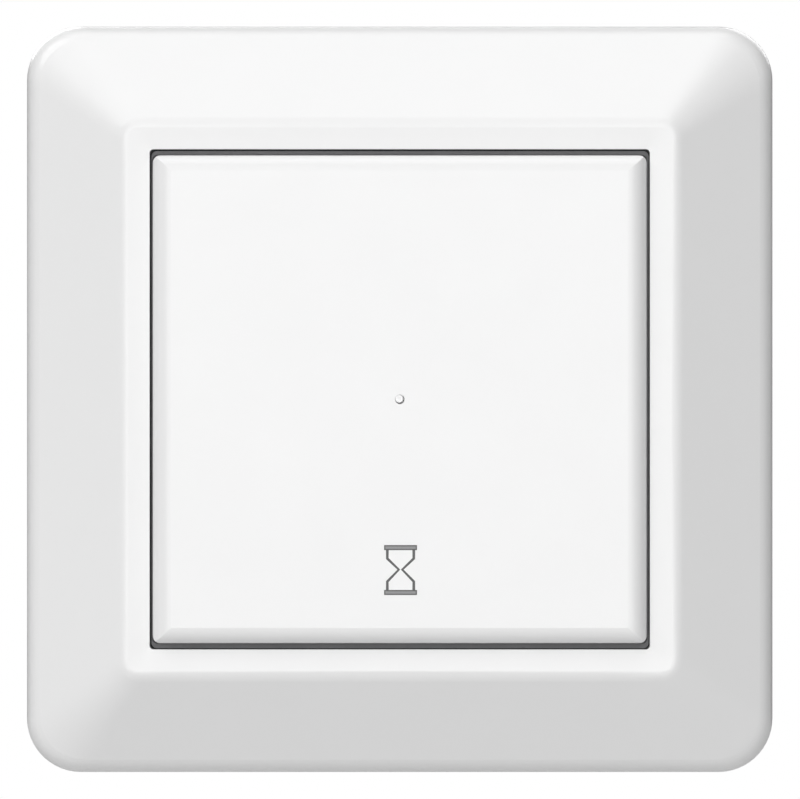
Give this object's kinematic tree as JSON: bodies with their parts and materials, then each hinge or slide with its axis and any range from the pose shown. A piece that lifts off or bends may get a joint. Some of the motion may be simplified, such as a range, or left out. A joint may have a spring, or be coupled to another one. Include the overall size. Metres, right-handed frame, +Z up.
{
  "type": "timer light switch",
  "caption": "Flush-mounted timer light switch: square sloped cover frame, large centred rocker with a light lens and hourglass mark, steel plate and wall-box housing with claws.",
  "frame": {"origin": "centre of the two box screws, on the plane of the finished wall", "axes": "-Y towards the viewer, out of the wall; +Z up; +X to the viewer's right"},
  "size_m": [0.083, 0.0362, 0.083],
  "materials": {
    "white_gloss": "gloss",
    "clear_plastic": "clear",
    "carrier_grey": "fine matte",
    "zinc_steel": "zinc plated",
    "housing_dark": "fine matte",
    "board_green": "solder mask",
    "black_plastic": "matte",
    "relay_plastic": "moulded",
    "film_yellow": "moulded",
    "can_aluminium": "brushed",
    "varistor_blue": "lacquered",
    "fuse_brown": "moulded",
    "brass": "turned",
    "tinned_metal": "tinned",
    "spring_steel": "drawn",
    "blue_plastic": "moulded",
    "natural_plastic": "moulded"
  },
  "bodies": {
    "base": {"cover_frame": "white_gloss", "insert_carrier": "carrier_grey", "mounting_plate": "zinc_steel", "housing": "housing_dark", "carrier_screws": "zinc_steel", "claw_pins": "zinc_steel", "terminal_blocks": "brass", "terminal_screws": "zinc_steel", "terminal_insulator": "natural_plastic", "control_board": "board_green", "upper_switch": "black_plastic", "lower_switch": "black_plastic", "upper_spring": "spring_steel", "lower_spring": "spring_steel", "status_led": "clear_plastic", "light_guide": "clear_plastic", "microcontroller": "black_plastic", "trimmer_body": "blue_plastic", "power_board": "board_green", "relay": "relay_plastic", "film_capacitor": "film_yellow", "smoothing_capacitor": "can_aluminium", "varistor": "varistor_blue", "fuse": "fuse_brown", "connector_block": "black_plastic", "connector_pins": "tinned_metal"},
    "rocker": {"rocker": "white_gloss", "rocker_lens": "clear_plastic"},
    "upper_plunger": {"upper_plunger": "natural_plastic"},
    "lower_plunger": {"lower_plunger": "natural_plastic"},
    "trimmer_rotor": {"trimmer_rotor": "natural_plastic"},
    "claw_left": {"claw_left": "zinc_steel"},
    "claw_right": {"claw_right": "zinc_steel"},
    "claw_screw_left": {"claw_screw_left": "zinc_steel"},
    "claw_screw_right": {"claw_screw_right": "zinc_steel"}
  },
  "joints": [
    {"name": "rocker_tilt", "type": "hinge", "parent": "base", "child": "rocker", "pos_m": [0, -0.0074, 0], "axis": [1, 0, 0], "range_deg": [-2.5, 2.5], "stiffness_Nm_per_rad": 0.35},
    {"name": "upper_plunger_slide", "type": "slide", "parent": "base", "child": "upper_plunger", "axis": [0, 1, 0], "range_m": [-0.00072, 0.00072], "deforming": ["upper_spring"]},
    {"name": "lower_plunger_slide", "type": "slide", "parent": "base", "child": "lower_plunger", "axis": [0, 1, 0], "range_m": [-0.00072, 0.00072], "deforming": ["lower_spring"]},
    {"name": "time_setting_turn", "type": "hinge", "parent": "base", "child": "trimmer_rotor", "pos_m": [-0.0095, 0, 0.007], "axis": [0, 1, 0], "range_deg": [-135, 135]},
    {"name": "claw_screw_left_turn", "type": "hinge", "parent": "base", "child": "claw_screw_left", "pos_m": [-0.0236, 0, 0], "axis": [0, 1, 0], "range_deg": [0, 1761]},
    {"name": "claw_left_swing", "type": "hinge", "parent": "base", "child": "claw_left", "pos_m": [-0.019, 0.0048, 0], "axis": [0, 0, 1], "range_deg": [0, 28]},
    {"name": "claw_screw_right_turn", "type": "hinge", "parent": "base", "child": "claw_screw_right", "pos_m": [0.0236, 0, 0], "axis": [0, 1, 0], "range_deg": [0, 1761]},
    {"name": "claw_right_swing", "type": "hinge", "parent": "base", "child": "claw_right", "pos_m": [0.019, 0.0048, 0], "axis": [0, 0, -1], "range_deg": [0, 28]}
  ],
  "couplings": [
    {"joint": "upper_plunger_slide", "follows": "rocker_tilt", "m_per_rad": -0.0165},
    {"joint": "lower_plunger_slide", "follows": "rocker_tilt", "m_per_rad": 0.0165},
    {"joint": "claw_left_swing", "follows": "claw_screw_left_turn", "ratio": 0.0159},
    {"joint": "claw_right_swing", "follows": "claw_screw_right_turn", "ratio": 0.0159}
  ]
}
